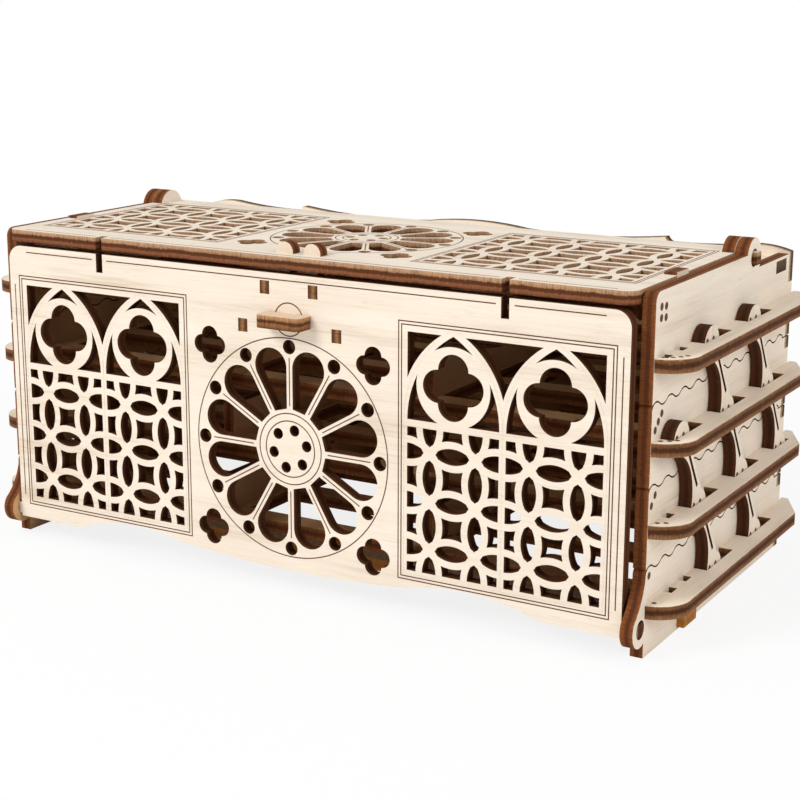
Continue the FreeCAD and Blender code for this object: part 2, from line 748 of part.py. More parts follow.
# Front panel: the drop front. Square pegs at its lower corners turn in the ears of the base.
def make_front_panel():
    bend = d.panel_corner * (1 - math.sqrt(0.5))
    side = d.panel_top - d.panel_corner
    peg_low = d.front_hinge_height - d.ply / 2
    peg_high = d.front_hinge_height + d.ply / 2
    slot = [
        (d.slot_offset + d.slot_width / 2, d.panel_top),
        (d.slot_offset + d.slot_width / 2, d.panel_top - d.slot_depth),
        (d.slot_offset - d.slot_width / 2, d.panel_top - d.slot_depth),
        (d.slot_offset - d.slot_width / 2, d.panel_top),
    ]
    right = [
        (panel_half, d.panel_bottom),
        (panel_half, peg_low),
        (half_outer, peg_low),
        (half_outer, peg_high),
        (panel_half, peg_high),
        (panel_half, side),
    ]
    corner_x = panel_half - d.panel_corner
    right_corner = [((panel_half - bend, d.panel_top - bend), (corner_x, d.panel_top))]
    left_corner = [((bend - panel_half, d.panel_top - bend), (-panel_half, side))]
    left = [(-x, z) for x, z in right[::-1]]
    crown = panel_half - d.apron_foot
    apron = d.panel_bottom + d.apron_rise
    lower_edge = [
        (-crown, d.panel_bottom),
        ((-3 * crown / 4, apron), (-crown / 2, apron - d.apron_rise / 2)),
        ((0, apron - d.apron_rise), (crown / 2, apron - d.apron_rise / 2)),
        ((3 * crown / 4, apron), (crown, d.panel_bottom)),
    ]
    top = slot + [(-x, z) for x, z in slot[::-1]] + [(-corner_x, d.panel_top)]
    outline = loop(left[-1], *lower_edge, *right, *right_corner, *top, *left_corner, *left[1:-1])
    openings = [wire(ring_hole((0, d.latch_height), d.latch_diameter / 2))]
    for offset, height in peg_places():
        for x in (-offset, offset):
            low = height - d.peg_height / 2
            openings.append(wire(rectangle(
                x - d.peg_width / 2, x + d.peg_width / 2, low, low + d.peg_height
            )))
    wheel_low = d.panel_bottom + d.wheel_border
    wheel_high = d.latch_height - d.latch_diameter / 2 - d.fret_rib / 2
    wheel_middle = (0, (wheel_low + wheel_high) / 2)
    wheel_radius = (wheel_high - wheel_low) / 2
    openings += wheel_openings(wheel_middle, wheel_radius)
    openings += spandrels(wheel_middle, wheel_radius)
    inner = wheel_radius + d.fret_margin
    outer = panel_half - d.fret_margin
    low = d.panel_bottom + d.apron_rise + d.fret_margin / 2
    high = d.panel_top - d.slot_depth - d.fret_margin
    openings += lancet_pair((inner, low), (outer, high))
    openings += lancet_pair((-outer, low), (-inner, high))
    upright = FreeCAD.Rotation(Vector(1, 0, 0), 90)
    place = FreeCAD.Placement(Vector(0, d.ply + d.shift, 0), upright)
    fret_piece("front_panel", fret_sheet(outline, openings), place)


def peg_places():
    """Offset and height of the square tenon ends round the latch."""
    return [
        (d.guide_offset, d.latch_height + d.guide_above),
        (d.stop_offset, d.latch_height - d.stop_below),
    ]


# Latch: a disc flush in the panel, the handle that passes through it, and the tongue behind.
# The upper pair of small plates guides the lid posts, the lower pair stops a hand that pushes in.
def make_latch():
    tenon = rectangle(
        -d.handle_tenon / 2, d.handle_tenon / 2, d.latch_height - d.ply / 2, d.latch_height + d.ply / 2
    )
    latch_disc = [ring_hole((0, d.latch_height), d.latch_diameter / 2 - d.running_fit), tenon]
    sheet_piece(
        "latch_disc", "XZ_Plane", latch_disc, y="dims.tongue_front", length="dims.tongue_front"
    )
    half = d.tongue_width / 2
    straight = d.tongue_length / 2 - half
    low = d.latch_height - half
    high = d.latch_height + half
    tongue = loop(
        (-straight, low),
        (straight, low),
        ((straight + half, d.latch_height), (straight, high)),
        (-straight, high),
        ((-straight - half, d.latch_height), (-straight, low)),
    )
    sheet_piece("latch_tongue", "XZ_Plane", [tongue, tenon], y="dims.tongue_front + dims.ply")
    wide = d.handle_width / 2
    narrow = d.handle_tenon / 2
    front = -d.fit_gap - d.handle_reach
    bend = d.handle_round * (1 - math.sqrt(0.5))
    handle = loop(
        (-wide + d.handle_round, front),
        (wide - d.handle_round, front),
        ((wide - bend, front + bend), (wide, front + d.handle_round)),
        (wide, -d.fit_gap),
        (narrow, -d.fit_gap),
        (narrow, d.tongue_front + d.ply),
        (-narrow, d.tongue_front + d.ply),
        (-narrow, -d.fit_gap),
        (-wide, -d.fit_gap),
        (-wide, front + d.handle_round),
        ((-wide + bend, front + bend), (-wide + d.handle_round, front)),
    )
    sheet_piece("latch_handle", "XY_Plane", [handle], z="dims.latch_height - dims.ply / 2")


def make_pegs():
    names = ("post_guide", "latch_stop")
    depths = (d.guide_depth, d.stop_depth)
    offsets = ("guide_offset", "stop_offset")
    for name, depth, offset, (x, height) in zip(names, depths, offsets, peg_places()):
        low = height - d.peg_height / 2
        high = height + d.peg_height / 2
        shoe = height - d.shoe_height / 2
        outline = loop(
            (0, low), (d.ply, low), (d.ply, shoe), (depth, shoe),
            (depth, high), (d.ply, high), (0, high),
        )
        right = sheet_piece(
            "right_" + name, "YZ_Plane", [outline],
            x=f"dims.{offset} - dims.peg_width / 2", length="dims.peg_width",
        )
        mirrored(right, "left_" + name)


# Lid: a fretwork panel between the top side plates. Its square pegs pass through the ears of the
# ribs, which lie in notches at its edges, and turn in the ears of the side plates.
def make_lid():
    axis = d.lid_hinge_depth
    ear = d.lid_ear_radius
    peg = d.ply / 2
    bend = d.lid_corner * (1 - math.sqrt(0.5))
    tab_rear = d.tab_front + d.tab_length
    right_edge = [
        (lid_half, d.tab_front),
        (rib_inner, d.tab_front),
        (rib_inner, tab_rear),
        (lid_half, tab_rear),
        (lid_half, axis - ear),
        (rib_inner, axis - ear),
        (rib_inner, axis - peg),
        (half_outer + d.lid_peg_proud, axis - peg),
        (half_outer + d.lid_peg_proud, axis + peg),
        (rib_inner, axis + peg),
        (rib_inner, lid_rear),
    ]
    right_corner = ((lid_half - bend, bend), (lid_half, d.lid_corner))
    left_corner = ((bend - lid_half, bend), (d.lid_corner - lid_half, 0))
    slot = [
        (d.slot_offset - d.slot_width / 2, 0),
        (d.slot_offset - d.slot_width / 2, d.lid_slot_depth),
        (d.slot_offset + d.slot_width / 2, d.lid_slot_depth),
        (d.slot_offset + d.slot_width / 2, 0),
    ]
    left_slot = [(-x, y) for x, y in slot[::-1]]
    left_edge = [(-x, y) for x, y in right_edge[::-1]]
    outline = loop(
        (d.lid_corner - lid_half, 0),
        *left_slot,
        *slot,
        (lid_half - d.lid_corner, 0),
        right_corner,
        *right_edge,
        *left_edge,
        (-lid_half, d.lid_corner),
        left_corner,
    )
    stem = d.post_stem / 2
    openings = []
    for x in (-d.post_offset, d.post_offset):
        openings.append(wire(rectangle(x - stem, x + stem, d.post_front, d.post_front + d.ply)))
    wheel_middle = (0, (d.lid_fret_front + lid_fret_rear) / 2)
    wheel_radius = (lid_fret_rear - d.lid_fret_front) / 2
    openings += wheel_openings(wheel_middle, wheel_radius)
    openings += spandrels(wheel_middle, wheel_radius)
    inner = wheel_radius + d.fret_margin
    outer = rib_inner - d.fret_margin / 2
    for left, right in ((inner, outer), (-outer, -inner)):
        openings += field_openings((left, d.lid_fret_front), (right, lid_fret_rear), 4, 4)
    place = FreeCAD.Placement(Vector(0, d.shift, lid_bottom), FreeCAD.Rotation())
    fret_piece("lid_panel", fret_sheet(outline, openings), place)


def make_ribs():
    axis = d.lid_hinge_depth
    ear = d.lid_ear_radius
    peg = d.ply / 2
    under = lid_bottom - d.rib_height
    tab_top = lid_top + d.tab_rise
    tab_rear = d.tab_front + d.tab_length
    outline = loop(
        (d.rib_front, lid_bottom),
        (d.rib_front + d.rib_height, under),
        (axis, under),
        (axis + ear, lid_axis),
        ((axis, lid_axis + ear), (axis - ear, lid_axis)),
        (axis - ear, lid_bottom),
        (tab_rear, lid_bottom),
        (tab_rear, tab_top),
        (d.tab_front, tab_top),
        (d.tab_front, lid_bottom),
    )
    peg_hole = rectangle(axis - peg, axis + peg, lid_bottom, lid_top)
    right = sheet_piece(
        "right_lid_rib", "YZ_Plane", [outline, peg_hole],
        x="dims.box_inner_width / 2 - dims.lid_play - dims.ply",
    )
    mirrored(right, "left_lid_rib")


def make_posts():
    head = d.post_head / 2
    stem = d.post_stem / 2
    neck = lid_top + d.post_neck
    low = lid_bottom - d.post_drop
    x = d.post_offset
    outline = loop(
        (x - stem, low),
        (x + stem, low),
        (x + stem, lid_top),
        (x + head, lid_top),
        (x + head, neck),
        ((x, neck + head), (x - head, neck)),
        (x - head, lid_top),
        (x - stem, lid_top),
    )
    right = sheet_piece("right_lid_post", "XZ_Plane", [outline], y="dims.post_front + dims.ply")
    mirrored(right, "left_lid_post")


# Rear deck: the fixed strip behind the lid, with through tenons in the top side plates.
def make_deck():
    a, b = deck_tenon()
    edge = [(half_inner, a), (half_outer, a), (half_outer, b), (half_inner, b)]
    outline = loop(
        (-half_inner, deck_front),
        (half_inner, deck_front),
        *edge,
        (half_inner, back_front),
        (-half_inner, back_front),
        *[(-x, y) for x, y in edge[::-1]],
    )
    height = "dims.panel_top + dims.lid_gap - dims.deck_drop - dims.ply"
    sheet_piece("rear_deck", "XY_Plane", [outline], z=height)


for tier in range(len(TIERS)):
    make_sides(tier)
    make_ledges(tier)
    make_floor(tier)
    make_dividers(tier)
    make_back(tier)
    make_pins(tier)
make_rail()
for bar_name in BARS:
    make_bars(bar_name)
make_front_panel()
make_latch()
make_pegs()
make_lid()
make_ribs()
make_posts()
make_deck()

doc.recompute()
for item in doc.Objects:
    if "Invalid" in item.State or "Error" in item.State:
        raise RuntimeError(f"{item.Label} failed: {item.State}")
for node in nodes:
    if node.Shape.isNull() or not node.Shape.isValid() or not node.Shape.Solids:
        raise RuntimeError(f"{node.Label} has no valid solid")

os.makedirs("parts", exist_ok=True)
for node in nodes:
    node.Shape.exportStep(f"parts/{node.Label}.step")
print(len(nodes), "pieces written")
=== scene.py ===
import math

import bmesh
import bpy
from mathutils import Matrix, Vector


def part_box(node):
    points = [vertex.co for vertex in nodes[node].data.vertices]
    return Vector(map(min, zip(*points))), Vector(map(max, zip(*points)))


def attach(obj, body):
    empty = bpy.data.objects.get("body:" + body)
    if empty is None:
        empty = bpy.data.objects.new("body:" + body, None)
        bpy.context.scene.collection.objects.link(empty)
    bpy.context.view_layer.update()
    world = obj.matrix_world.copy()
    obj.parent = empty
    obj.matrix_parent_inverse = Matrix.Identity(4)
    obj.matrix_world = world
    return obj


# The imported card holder: every plywood sheet is a CAD node and stays as it is. This script gives
# the sheets their birch finish, and adds what the laser only scorched into their faces.
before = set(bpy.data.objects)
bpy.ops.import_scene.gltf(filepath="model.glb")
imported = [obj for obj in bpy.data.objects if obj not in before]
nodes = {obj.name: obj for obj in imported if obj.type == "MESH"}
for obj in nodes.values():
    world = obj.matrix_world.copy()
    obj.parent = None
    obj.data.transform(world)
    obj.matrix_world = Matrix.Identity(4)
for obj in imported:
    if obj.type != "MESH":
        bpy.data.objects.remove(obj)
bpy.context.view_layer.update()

# Side plates: upright birch plywood, one pair for each tier, cut by laser so that their wavy edges
# mate at the seams. The faces are pale veneer, with painted shade as a brown on the inner faces, and
# the cut edges are scorched and show the layers.
MM = 0.001
TIERS = ("base", "tier_2", "tier_3", "tier_4")
SIDES = {"left": -1, "right": 1}
PLY = 4 * MM
SIDE_FACE = 113.5 * MM
VENEER_LIGHT = (0.86, 0.755, 0.63, 1)
VENEER_MID = (0.80, 0.69, 0.565, 1)
VENEER_DARK = (0.66, 0.53, 0.40, 1)
VENEER_STOPS = ((0.36, VENEER_DARK), (0.50, VENEER_MID), (0.64, VENEER_LIGHT))
# Painted shade inside the box: its faces take this share of a dark brown, which the handle also takes as
# its browning.
SHADE_AND_BROWNING = (0.51, 0.26, 0.08, 1)
INSIDE_SHADE_SHARE = 0.85
BROAD_STREAK = (90 * MM, 6 * MM)
FINE_STREAK = (18 * MM, 0.7 * MM)
PORE = (5 * MM, 0.45 * MM)
BURN_STREAK = (4 * MM, 0.3 * MM)
BROAD_SHARE, FINE_SHARE, CLOUD_SHARE = 0.55, 0.3, 0.25
CLOUD_SCALE, WISP_SCALE, CHAR_SCALE = 28.0, 140.0, 900.0
PORE_LIMIT, PORE_SHARE = 0.69, 0.35
WISP_DRIFT, CHAR_DRIFT = 0.2, 0.25
HATCH_RANGE, HATCH_SHARE = (0.42, 0.7), 0.5
EMBER_SHARE = 0.2
EDGE_ROUGHNESS, FACE_POLISH, FIBRE_ROUGHNESS = 0.92, 0.3, 0.12
GRAIN_STRENGTH, GRAIN_DEPTH = 0.25, 0.2 * MM
WOOD_GLOSS = 0.2
FACE_LIMIT = 0.6
SHEET_LEAD = 1 / 8
CHARRED = (0.035, 0.011, 0.004, 1)
EMBER = (0.17, 0.056, 0.017, 1)
BURNT_LAYERS = (
    (0.00, (0.230, 0.076, 0.020, 1)),
    (0.28, (0.200, 0.060, 0.015, 1)),
    (0.40, (0.090, 0.024, 0.006, 1)),
    (0.62, (0.085, 0.022, 0.005, 1)),
    (0.74, (0.190, 0.055, 0.013, 1)),
    (0.93, (0.220, 0.070, 0.019, 1)),
    (1.00, (0.360, 0.170, 0.075, 1)),
)


class Socket:
    """An output of a material node. An operator on values adds the Math node for it."""

    def __init__(self, tree, node=None, output=0):
        self.tree = tree
        self.owner = node
        self.link = node.outputs[output] if node else None

    def at(self, output):
        """Another output of the same node."""
        return Socket(self.tree, self.owner, output)

    def node(self, kind, inputs, output=0, stops=None, **settings):
        made = self.tree.nodes.new(kind)
        for key, value in settings.items():
            setattr(made, key, value)
        if stops:
            ramp = made.color_ramp
            while len(ramp.elements) < len(stops):
                ramp.elements.new(1)
            for element, (place, colour) in zip(ramp.elements, stops):
                element.position = place
                element.color = colour
        for key, value in inputs.items():
            self.feed(made.inputs[key], value)
        return Socket(self.tree, made, output)

    def feed(self, socket, value):
        if isinstance(value, Socket):
            self.tree.links.new(value.link, socket)
        else:
            socket.default_value = value

    def math(self, operation, first, second=0):
        return self.node("ShaderNodeMath", {0: first, 1: second}, operation=operation)

    def mix(self, share, first, second):
        """A colour between two, by a share from 0 to 1. Mix has its colours at sockets 6, 7 and 2."""
        return self.node("ShaderNodeMix", {0: share, 6: first, 7: second}, 2, data_type="RGBA")

    def __add__(self, other):
        return self.math("ADD", self, other)

    def __sub__(self, other):
        return self.math("SUBTRACT", self, other)

    def __rsub__(self, other):
        return self.math("SUBTRACT", other, self)

    def __mul__(self, other):
        return self.math("MULTIPLY", self, other)

    def __truediv__(self, other):
        return self.math("DIVIDE", self, other)

    __radd__ = __add__
    __rmul__ = __mul__


def blank(name):
    """A new material, its shader and a socket to start its nodes from."""
    material = bpy.data.materials.new(name)
    material.use_nodes = True
    tree = material.node_tree
    shader = tree.nodes["Principled BSDF"]
    return material, shader, Socket(tree)


def streaks(start, place, along, size, detail=3):
    """Noise drawn out along the grain, by a streak's usual length and width."""
    length, width = size
    scale = [1 / width] * 3
    scale["XYZ".index(along)] = 1 / length
    drawn = start.node("ShaderNodeMapping", {"Vector": place, "Scale": scale})
    return start.node("ShaderNodeTexNoise", {"Vector": drawn, "Scale": 1.0, "Detail": detail})


def plywood(
    name, across, start, grain, pitch=0, twin=False, layers=BURNT_LAYERS, darkened_side=None, darkening=INSIDE_SHADE_SHARE,
):
    """Birch plywood. The sheet lies across an axis from start on, at every pitch, or on both sides.

    The faces on the darkened side, -1 or 1, or both for 0, take that share of a dark brown: painted
    shade on the pieces inside the box, and the browning of the handle.
    """
    material, shader, wood = blank(name)
    place = wood.node("ShaderNodeTexCoord", {}, "Object")
    facing = wood.node("ShaderNodeSeparateXYZ", {0: place.at("Normal")}, across)
    veneer = wood.math("GREATER_THAN", wood.math("ABSOLUTE", facing), FACE_LIMIT)
    sideways = wood.node("ShaderNodeSeparateXYZ", {0: place}, across)
    depth = (wood.math("ABSOLUTE", sideways) if twin else sideways) - start
    if pitch:
        lead = SHEET_LEAD * pitch
        depth = wood.math("FLOORED_MODULO", depth + lead, pitch) - lead
    layer = depth / PLY

    broad = streaks(wood, place, grain, BROAD_STREAK)
    fine = streaks(wood, place, grain, FINE_STREAK, detail=4)
    cloud = wood.node("ShaderNodeTexNoise", {"Vector": place, "Scale": CLOUD_SCALE, "Detail": 2.0})
    pores = wood.math("GREATER_THAN", streaks(wood, place, grain, PORE, detail=1), PORE_LIMIT)
    figure = broad * BROAD_SHARE + fine * FINE_SHARE + cloud * CLOUD_SHARE
    face = wood.node("ShaderNodeValToRGB", {0: figure}, stops=VENEER_STOPS)
    face = wood.mix(pores * PORE_SHARE, face, VENEER_DARK)
    # Painted shade on the faces inside the box, and the handle's browning: a share of dark brown on the
    # darkened side.
    if darkened_side is not None:
        inward = facing * darkened_side if darkened_side else wood.math("ABSOLUTE", facing)
        if twin and darkened_side:
            inward = inward * wood.math("SIGN", sideways)
        darkened_faces = wood.math("GREATER_THAN", inward, FACE_LIMIT)
        face = wood.mix(darkened_faces * darkening, face, SHADE_AND_BROWNING)

    char = wood.node("ShaderNodeTexNoise", {"Vector": place, "Scale": CHAR_SCALE, "Detail": 3.0})
    wisp = wood.node("ShaderNodeTexNoise", {"Vector": place, "Scale": WISP_SCALE, "Detail": 2.0})
    hatch = streaks(wood, place, across, BURN_STREAK, detail=2)
    uneven = layer + (wisp - 0.5) * WISP_DRIFT + (char - 0.5) * CHAR_DRIFT
    edge = wood.node("ShaderNodeValToRGB", {0: uneven}, stops=layers)
    weak, strong = HATCH_RANGE
    burn_lines = wood.node(
        "ShaderNodeMapRange",
        {"Value": hatch, "From Min": weak, "From Max": strong, "To Min": 0.0, "To Max": HATCH_SHARE},
    )
    edge = wood.mix(burn_lines, edge, CHARRED)
    edge = wood.mix(wisp * EMBER_SHARE, edge, EMBER)

    wood.feed(shader.inputs["Base Color"], wood.mix(veneer, edge, face))
    polish = FACE_POLISH - fine * FIBRE_ROUGHNESS
    wood.feed(shader.inputs["Roughness"], EDGE_ROUGHNESS - veneer * polish)
    height = fine * veneer + (char + hatch) * (1 - veneer)
    bump = wood.node(
        "ShaderNodeBump", {"Strength": GRAIN_STRENGTH, "Distance": GRAIN_DEPTH, "Height": height},
    )
    wood.feed(shader.inputs["Normal"], bump)
    shader.inputs["Specular IOR Level"].default_value = WOOD_GLOSS
    return material


def finish(material, *names):
    """Gives CAD nodes a material."""
    for name in names:
        slots = nodes[name].data.materials
        slots.clear()
        slots.append(material)


side_ply = plywood("side_plywood", "X", SIDE_FACE, "Y", twin=True, darkened_side=-1)
finish(side_ply, *[f"{tier}_{side}_side" for tier in TIERS for side in SIDES])

# Tier marks: round dots that the laser burnt into the front corners of the side plates, as many as
# the tier's number. They are scorched wood, and only just stand out of the face.
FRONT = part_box("front_panel")[0].y
TIER_PITCH = 24 * MM
LEDGE_UNDER = 12 * MM
BURN_DEPTH = 0.03 * MM
SIDE_DOT = 1.15 * MM
DOT_CORNERS = 20
MERGE_REACH = 0.001 * MM
SOOT_SCALE = 700.0
SOOT_ROUGHNESS, SOOT_UNEVENNESS = 0.8, 0.15
SOOT_STRENGTH, SOOT_DEPTH = 0.3, 0.1 * MM
SIDE_MARKS = (
    ((7.1, 24.4),),
    ((9.3, 47.8), (6.8, 45.2)),
    ((11.9, 71.1), (9.5, 69.2), (7.4, 67.1)),
    ((8.8, 102.0), (12.2, 101.7), (8.8, 98.8), (12.2, 98.5)),
)

scorch, scorch_shader, soot = blank("scorched_line")
soot_place = soot.node("ShaderNodeTexCoord", {}, "Object")
soot_cloud = soot.node(
    "ShaderNodeTexNoise", {"Vector": soot_place, "Scale": SOOT_SCALE, "Detail": 3.0},
)
soot.feed(scorch_shader.inputs["Base Color"], soot.mix(soot_cloud, CHARRED, EMBER))
soot.feed(scorch_shader.inputs["Roughness"], soot_cloud * SOOT_UNEVENNESS + SOOT_ROUGHNESS)
soot_bump = soot.node(
    "ShaderNodeBump", {"Strength": SOOT_STRENGTH, "Distance": SOOT_DEPTH, "Height": soot_cloud},
)
soot.feed(scorch_shader.inputs["Normal"], soot_bump)


def dot(drawn, place, radius):
    """A round mark, drawn flat."""
    bmesh.ops.create_circle(
        drawn, cap_ends=True, segments=DOT_CORNERS, radius=radius,
        matrix=Matrix.Translation((*place, 0)),
    )


def burn(name, drawn, onto, body):
    """Marks drawn flat, given a little depth and set half sunk into a face by a matrix."""
    grown = bmesh.ops.extrude_face_region(drawn, geom=drawn.faces[:])["geom"]
    tops = [part for part in grown if isinstance(part, bmesh.types.BMVert)]
    bmesh.ops.translate(drawn, verts=tops, vec=(0, 0, 2 * BURN_DEPTH))
    bmesh.ops.translate(drawn, verts=drawn.verts, vec=(0, 0, -BURN_DEPTH))
    bmesh.ops.transform(drawn, verts=drawn.verts, matrix=onto)
    bmesh.ops.remove_doubles(drawn, verts=drawn.verts, dist=MERGE_REACH)
    bmesh.ops.recalc_face_normals(drawn, faces=drawn.faces)
    mesh = bpy.data.meshes.new(name)
    drawn.to_mesh(mesh)
    drawn.free()
    mesh.materials.append(scorch)
    marks = bpy.data.objects.new(name, mesh)
    bpy.context.scene.collection.objects.link(marks)
    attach(marks, body)


def on_side(outward, reach):
    """Sets a drawing in depth and height on a side of the box, its middle plane's distance away."""
    return Matrix((
        (0, 0, outward, outward * reach),
        (1, 0, 0, FRONT),
        (0, 1, 0, 0),
        (0, 0, 0, 1),
    ))


for tier, places in zip(TIERS, SIDE_MARKS):
    for side, outward in SIDES.items():
        drawn = bmesh.new()
        for depth, height in places:
            dot(drawn, (depth * MM, height * MM), SIDE_DOT)
        burn(f"{tier}_{side}_marks", drawn, on_side(outward, SIDE_FACE + PLY), tier)

# Ledges: plywood strips tenoned into the outside of the side plates, with their layers showing
# along the rounded outer edge. Dots along that edge repeat the tier's number.
LEDGE_ROUND = 12 * MM
LEDGE_BORDER = 2.6 * MM
LEDGE_DOT = 0.75 * MM
LEDGE_DOT_STEP = math.radians(15)
LEDGE_FIRST_DOT = math.radians(-66)
LEDGE_LAYERS = (
    (0.00, (0.300, 0.150, 0.070, 1)),
    (0.25, (0.210, 0.090, 0.036, 1)),
    (0.38, (0.062, 0.021, 0.007, 1)),
    (0.62, (0.056, 0.018, 0.006, 1)),
    (0.74, (0.170, 0.070, 0.026, 1)),
    (0.92, (0.220, 0.095, 0.038, 1)),
    (1.00, (0.480, 0.290, 0.160, 1)),
)
ledge_ply = plywood(
    "ledge_plywood", "Z", LEDGE_UNDER, "Y", pitch=TIER_PITCH, layers=LEDGE_LAYERS,
)
finish(ledge_ply, *[f"{tier}_{side}_ledge" for tier in TIERS for side in SIDES])
for number, tier in enumerate(TIERS):
    low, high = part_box(f"{tier}_right_ledge")
    middle = Vector((high.x - LEDGE_ROUND, low.y + LEDGE_ROUND))
    for side, outward in SIDES.items():
        drawn = bmesh.new()
        for i in range(number + 1):
            angle = LEDGE_FIRST_DOT + i * LEDGE_DOT_STEP
            reach = Vector((math.cos(angle), math.sin(angle))) * (LEDGE_ROUND - LEDGE_BORDER)
            dot(drawn, middle + reach, LEDGE_DOT)
        onto = Matrix.Translation((0, 0, high.z)) @ Matrix.Diagonal((outward, 1, 1, 1))
        burn(f"{tier}_{side}_ledge_marks", drawn, onto, tier)

# Floors: one slatted plywood grid in each tier, held by short tenons in the side plates. They only
# show through the fretwork, and both their faces are darkened brown as painted shade of the inside.
floor_ply = plywood("floor_plywood", "Z", LEDGE_UNDER, "X", pitch=TIER_PITCH, darkened_side=0)
finish(floor_ply, *[f"{tier}_floor" for tier in TIERS])

# Rail: a flat plywood strip that ties the lowest side plates together. The ends of its tenons stand
# out under the ledges.
HONEY_LAYERS = (
    (0.00, (0.540, 0.235, 0.050, 1)),
    (0.45, (0.430, 0.160, 0.030, 1)),
    (1.00, (0.560, 0.265, 0.070, 1)),
)
rail_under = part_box("base_rail")[0].z
finish(plywood("rail_plywood", "Z", rail_under, "X", layers=HONEY_LAYERS), "base_rail")

# Dividers: low plywood walls glued on the floor strips, two in each tier, with a dip in the upper
# edge to reach the cards. Both their faces are darkened brown as painted shade of the inside.
divider_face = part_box("base_right_divider")[0].x
divider_ply = plywood("divider_plywood", "X", divider_face, "Y", twin=True, darkened_side=0)
finish(divider_ply, *[f"{tier}_{side}_divider" for tier in TIERS for side in SIDES])

# Back boards: one plywood board for each tier, let into the rear edges of the side plates, their
# faces towards the inside darkened brown as painted shade. The top one stands free over the deck
# with a wavy crest, and is as pale as the outside.
SMOKED_LAYERS = (
    (0.00, (0.560, 0.420, 0.260, 1)),
    (0.36, (0.420, 0.290, 0.160, 1)),
    (0.50, (0.100, 0.054, 0.027, 1)),
    (1.00, (0.075, 0.040, 0.020, 1)),
)
back_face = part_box("base_back")[0].y
back_ply = plywood("back_plywood", "Y", back_face, "X", layers=SMOKED_LAYERS, darkened_side=-1)
finish(back_ply, *[f"{tier}_back" for tier in TIERS[:-1]])
crest_ply = plywood("crest_plywood", "Y", back_face, "X", layers=SMOKED_LAYERS)
finish(crest_ply, f"{TIERS[-1]}_back")

# Pivot pins: thin birch dowels, pressed into the side plates, on which the bars turn. Their ends
# sit in blind holes of the bars.
DOWEL_STREAK = (20 * MM, 0.5 * MM)
DOWEL_ROUGHNESS, DOWEL_UNEVENNESS = 0.55, 0.2
dowel, dowel_shader, dowel_wood = blank("dowel_birch")
dowel_place = dowel_wood.node("ShaderNodeTexCoord", {}, "Object")
dowel_fibre = streaks(dowel_wood, dowel_place, "X", DOWEL_STREAK)
dowel_colour = dowel_wood.mix(dowel_fibre, VENEER_DARK, VENEER_LIGHT)
dowel_wood.feed(dowel_shader.inputs["Base Color"], dowel_colour)
dowel_roughness = dowel_fibre * DOWEL_UNEVENNESS + DOWEL_ROUGHNESS
dowel_wood.feed(dowel_shader.inputs["Roughness"], dowel_roughness)
finish(dowel, *[f"{tier}_pivot_pins" for tier in TIERS])

# Bars: plywood links outside the side plates, three on each side, on which the upper tiers swing
# back. Round bosses and curved necks are cut in one, and their edges and slits are scorched.
bar_low, bar_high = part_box("right_long_bar")
CHARRED_LAYERS = (
    (0.00, (0.075, 0.024, 0.007, 1)),
    (0.35, (0.060, 0.019, 0.006, 1)),
    (0.45, (0.028, 0.009, 0.003, 1)),
    (0.65, (0.026, 0.008, 0.003, 1)),
    (0.75, (0.065, 0.021, 0.006, 1)),
    (1.00, (0.090, 0.032, 0.010, 1)),
)
bar_ply = plywood("bar_plywood", "X", bar_low.x, "Z", twin=True, layers=CHARRED_LAYERS)
finish(bar_ply, *[f"{side}_{bar}_bar" for side in SIDES for bar in ("front", "long", "rear")])

# Bar dots: two small burnt dots on every boss of the bars, side by side just over the pivot, where
# the boss comes out of the ledge.
BAR_LEAN = 16 * MM
PIVOT_HEIGHT = 14 * MM
BAR_DOT = 0.95 * MM
DOT_RISE = 2 * MM
DOT_HALF_SPACING = 2.5 * MM
BAR_FEET = {"front": (49 * MM, 0, 3), "long": (86 * MM, 0, 4), "rear": (123 * MM, 1, 4)}
for bar, (foot, first, last) in BAR_FEET.items():
    for side, outward in SIDES.items():
        drawn = bmesh.new()
        for tier in range(first, last):
            height = PIVOT_HEIGHT + tier * TIER_PITCH + DOT_RISE
            axis = foot - BAR_LEAN * (tier + DOT_RISE / TIER_PITCH)
            for sideways in (-DOT_HALF_SPACING, DOT_HALF_SPACING):
                dot(drawn, (axis + sideways, height), BAR_DOT)
        burn(f"{side}_{bar}_dots", drawn, on_side(outward, bar_high.x), f"{bar}_bars")

# Front panel: the plywood drop front, pierced by the laser in one pass with its hinge pegs, which
# turn in the ears of the lowest side plates. Its cut edges are the darkest on the box.
SINGED_LAYERS = (
    (0.00, (0.105, 0.040, 0.012, 1)),
    (0.30, (0.100, 0.031, 0.007, 1)),
    (0.42, (0.044, 0.012, 0.003, 1)),
    (0.62, (0.040, 0.011, 0.003, 1)),
    (0.74, (0.085, 0.026, 0.006, 1)),
    (1.00, (0.115, 0.039, 0.010, 1)),
)
finish(plywood("panel_plywood", "Y", FRONT, "X", layers=SINGED_LAYERS), "front_panel")

# Panel lines: thin burnt lines round the wheel window, its hub and spokes, the lancets and their
# fields, and the latch. They keep to the solid wood beside the openings.
LINE = 0.36 * MM
FRET_RIB = 2.2 * MM
SPOKES = 12
HUB_SHARE = 0.3
SPOKE_SHARE = 0.865
HUB_INSET = 1.3 * MM
SPOKE_CLEAR = 3.3 * MM
RIM_OUTSET = 0.5 * MM
RING_CORNERS = 96
ARC_STEPS = 16
ARCH_TURN = math.radians(60)
HALF_SQUARE = 0.5
WHEEL_MIDDLE = (0, 46.65 * MM)
WHEEL_RADIUS = 34.95 * MM
FIELD_LOW = (41.95 * MM, 14.7 * MM)
FIELD_HIGH = (105.5 * MM, 88.6 * MM)
LATCH_HEIGHT = 87.7 * MM
LATCH_RING = 5.35 * MM
PANEL_BORDER = 2 * MM
FIELD_BORDERS = (2.2 * MM, 3.2 * MM)
